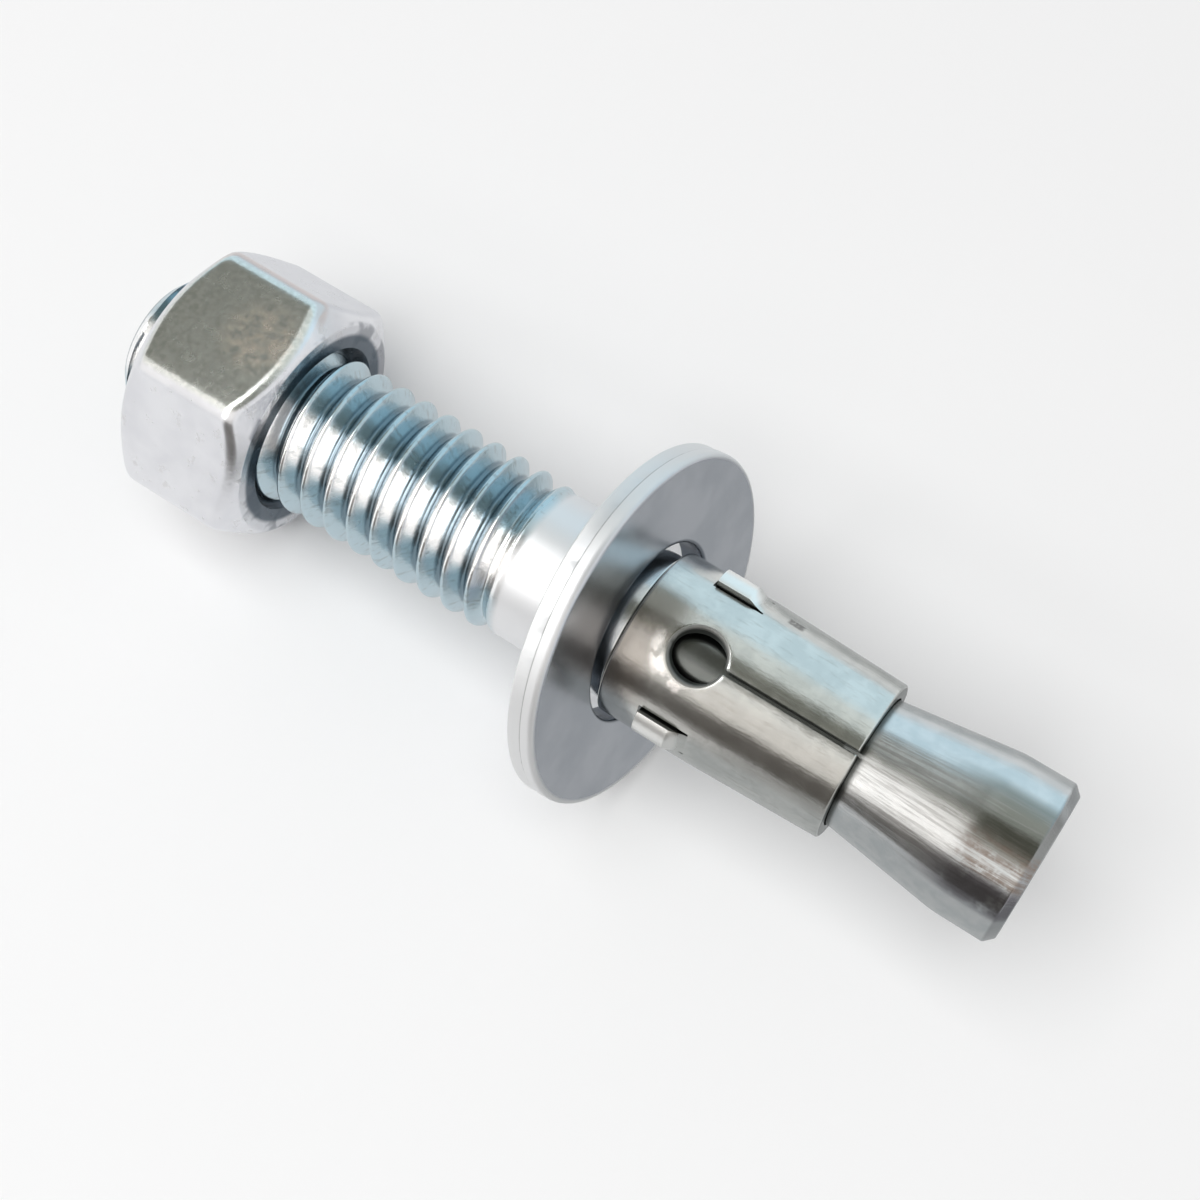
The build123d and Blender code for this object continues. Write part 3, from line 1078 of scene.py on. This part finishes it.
# lengths in metres
studio = {
    "floorColour": (0.93, 0.93, 0.93),
    "floorRoughness": 0.9,
    "floorShine": 0.1,
    "floorHalf": 4.0,
    "floorDrop": 0.00002,          # below the lowest points of the anchor
    "worldFill": 0.35,             # what the white world gives to matt surfaces
    # only the metal sees the panels and cards from here on; a panel's two angles go round the stud
    # from the far side of the floor over the top, then comes its run along the stud
    "tentRadius": 0.45,
    "tent": {
        "blue_side_panel": (-2, 46, -0.8, -0.075, (0.78, 0.98, 1.08)),
        "blue_panel": (-2, 52, -0.075, 0.55, (0.78, 0.98, 1.08)),
        "light_panel": (52, 78, -0.075, 0.55, (0.85, 0.90, 0.88)),
        "dark_side_panel": (46, 100, -0.8, -0.075, (0.22, 0.22, 0.19)),
        "dark_panel": (78, 104, -0.075, 0.55, (0.16, 0.16, 0.13)),
        "warm_side_panel": (100, 163, -0.8, -0.075, (1.1, 1.08, 1.05)),
        "grey_panel": (104, 113, -0.075, 0.55, (0.5, 0.49, 0.46)),
        "warm_panel": (113, 163, -0.075, 0.55, (1.1, 1.07, 1.03)),
    },
    # on the floor, a grey card that only the metal sees, painted shade for the floor round the anchor: X
    # from and to, Y from and to, height above it and colour
    "floorShadeCard": ((0.0, 0.09), (-0.098, 0.04), 0.0001, (0.50, 0.51, 0.51)),
    # near the anchor: four corners and a colour
    "cards": {
        "low_front_card": (
            ((-0.006, -0.1, -0.0102), (0.008, -0.1, -0.0117), (0.008, -0.1, 0.024), (-0.006, -0.1, 0.024)),
            (0.12, 0.12, 0.12),
        ),
        "front_card": (
            ((0.008, -0.1, -0.0117), (0.15, -0.1, -0.018), (0.15, -0.1, 0.052), (0.008, -0.1, 0.052)),
            (0.12, 0.11, 0.10),
        ),
        "thread_card": (
            ((-0.001, 0.006, 0.055), (0.0135, 0.006, 0.055), (0.0135, -0.06, 0.043), (-0.001, -0.06, 0.043)),
            (6.5, 6.5, 6.5),
        ),
    },
    # place, the spot it points at, size and watts
    "lamps": {
        "overhead_soft_box": ((-0.02, -0.2, 0.68), (0.03, 0, 0), (0.6, 0.6), 3.9),
        "front_soft_box": ((-0.08, -0.31, 0.27), (0.03, 0, 0), (0.6, 0.05), 0.2),
    },
}


def makeSheet(name, corners, material):
    mesh = bpy.data.meshes.new(name)
    mesh.from_pydata(corners, [], [(0, 1, 2, 3)])
    mesh.materials.append(material)
    sheet = bpy.data.objects.new(name, mesh)
    bpy.context.scene.collection.objects.link(sheet)
    return sheet


def makePanel(name, corners, colour):
    # a card or one side of a light tent, which only the metal sees
    graph = newGraph(name)
    glow = graph.make("ShaderNodeEmission", {}, {"Color": (*colour, 1)})
    panel = makeSheet(name, corners, graph.finish(glow))
    panel.visible_camera = False
    panel.visible_diffuse = False
    panel.visible_shadow = False


def rectangle(place, runX, runY, lift):
    # four corners in a place's own frame
    (startX, endX), (startY, endY) = runX, runY
    flat = ((startX, startY), (endX, startY), (endX, endY), (startX, endY))
    return [place @ Vector((x, y, lift)) for x, y in flat]


def makeFloor():
    # the floor touches the washer's rim and the nut's far edge
    rim = min((vert.co for vert in frame["nodes"]["washer"].data.vertices), key=lambda spot: spot.z)
    edges = [vert.co for vert in frame["nodes"]["hex_nut"].data.vertices]
    lean = min((spot.z - rim.z) / (rim.x - spot.x) for spot in edges)
    normal = Vector((lean, 0, 1)).normalized()
    across = Vector((0, 1, 0))
    turn = Matrix((across.cross(normal), across, normal)).transposed().to_4x4()
    place = Matrix.Translation(rim - normal * studio["floorDrop"]) @ turn
    graph = newGraph("pale_floor")
    paint = graph.make("ShaderNodeBsdfPrincipled", {}, {
        "Base Color": (*studio["floorColour"], 1),
        "Roughness": studio["floorRoughness"],
        "Specular IOR Level": studio["floorShine"],
    })
    half = studio["floorHalf"]
    makeSheet("floor", rectangle(place, (-half, half), (-half, half), 0), graph.finish(paint))
    # the grey card in the floor's shade, which only the metal sees, is painted shade
    runX, runY, lift, colour = studio["floorShadeCard"]
    makePanel("floor_shade_card", rectangle(place, runX, runY, lift), colour)
    print("floor leans", round(degrees(atan2(lean, 1)), 2))


def makeLamp(name, spot, aim, size, watts):
    # a soft box that lights matt surfaces and isn't seen in the metal
    lamp = bpy.data.lights.new(name, "AREA")
    lamp.shape = "RECTANGLE"
    lamp.size, lamp.size_y = size
    lamp.energy = watts
    holder = bpy.data.objects.new(name, lamp)
    bpy.context.scene.collection.objects.link(holder)
    away = (Vector(spot) - Vector(aim)).normalized()
    sideways = (Vector((1, 0, 0)) - away * away.x).normalized()
    turn = Matrix((sideways, away.cross(sideways), away)).transposed().to_4x4()
    holder.matrix_world = Matrix.Translation(spot) @ turn
    holder.visible_glossy = False


def makeWorld():
    # white to the camera and to what shines, and a soft fill for what is matt
    world = bpy.data.worlds.new("studio")
    bpy.context.scene.world = world
    graph = Graph(world, "ShaderNodeOutputWorld")
    kinds = ("Is Camera Ray", "Is Glossy Ray", "Is Transmission Ray")
    camera, glossy, clear = [graph.make("ShaderNodeLightPath", outlet=kind) for kind in kinds]
    white = camera.orMore(glossy).orMore(clear)
    strength = graph.make("ShaderNodeMapRange", {}, {"Value": white, "To Min": studio["worldFill"]})
    graph.finish(graph.make("ShaderNodeBackground", {}, {"Color": (1, 1, 1, 1), "Strength": strength}))


makeFloor()
for name, (low, high, startX, endX, colour) in studio["tent"].items():
    ends = ((startX, low), (endX, low), (endX, high), (startX, high))
    makePanel(name, [onAxis(x, studio["tentRadius"], radians(turn)) for x, turn in ends], colour)
for name, (corners, colour) in studio["cards"].items():
    makePanel(name, corners, colour)
for name, settings in studio["lamps"].items():
    makeLamp(name, *settings)
makeWorld()
print("studio ready")


view = {
    "back": (0.245, -0.293, 0.9241),      # from the anchor towards the camera
    "up": (-0.5021, 0.7771, 0.3795),
    "aim": (30.164, 0.100, 0.094),
    "distance": 106.49,
    "lens": 58.8,
    "sensor": 36.0,
    "nearest": 5.0,                       # closer things aren't seen
}


def makeCamera():
    lens = bpy.data.cameras.new("camera")
    lens.lens = view["lens"]
    lens.sensor_width = view["sensor"]
    lens.clip_start = view["nearest"] * mm
    camera = bpy.data.objects.new("camera", lens)
    bpy.context.scene.collection.objects.link(camera)
    back = Vector(view["back"]).normalized()
    right = Vector(view["up"]).cross(back).normalized()
    turn = Matrix((right, back.cross(right), back)).transposed().to_4x4()
    spot = Vector(view["aim"]) * mm + back * view["distance"] * mm
    camera.matrix_world = Matrix.Translation(spot) @ turn
    bpy.context.scene.camera = camera


makeCamera()
bpy.context.scene.view_settings.view_transform = "Standard"
print("camera set")
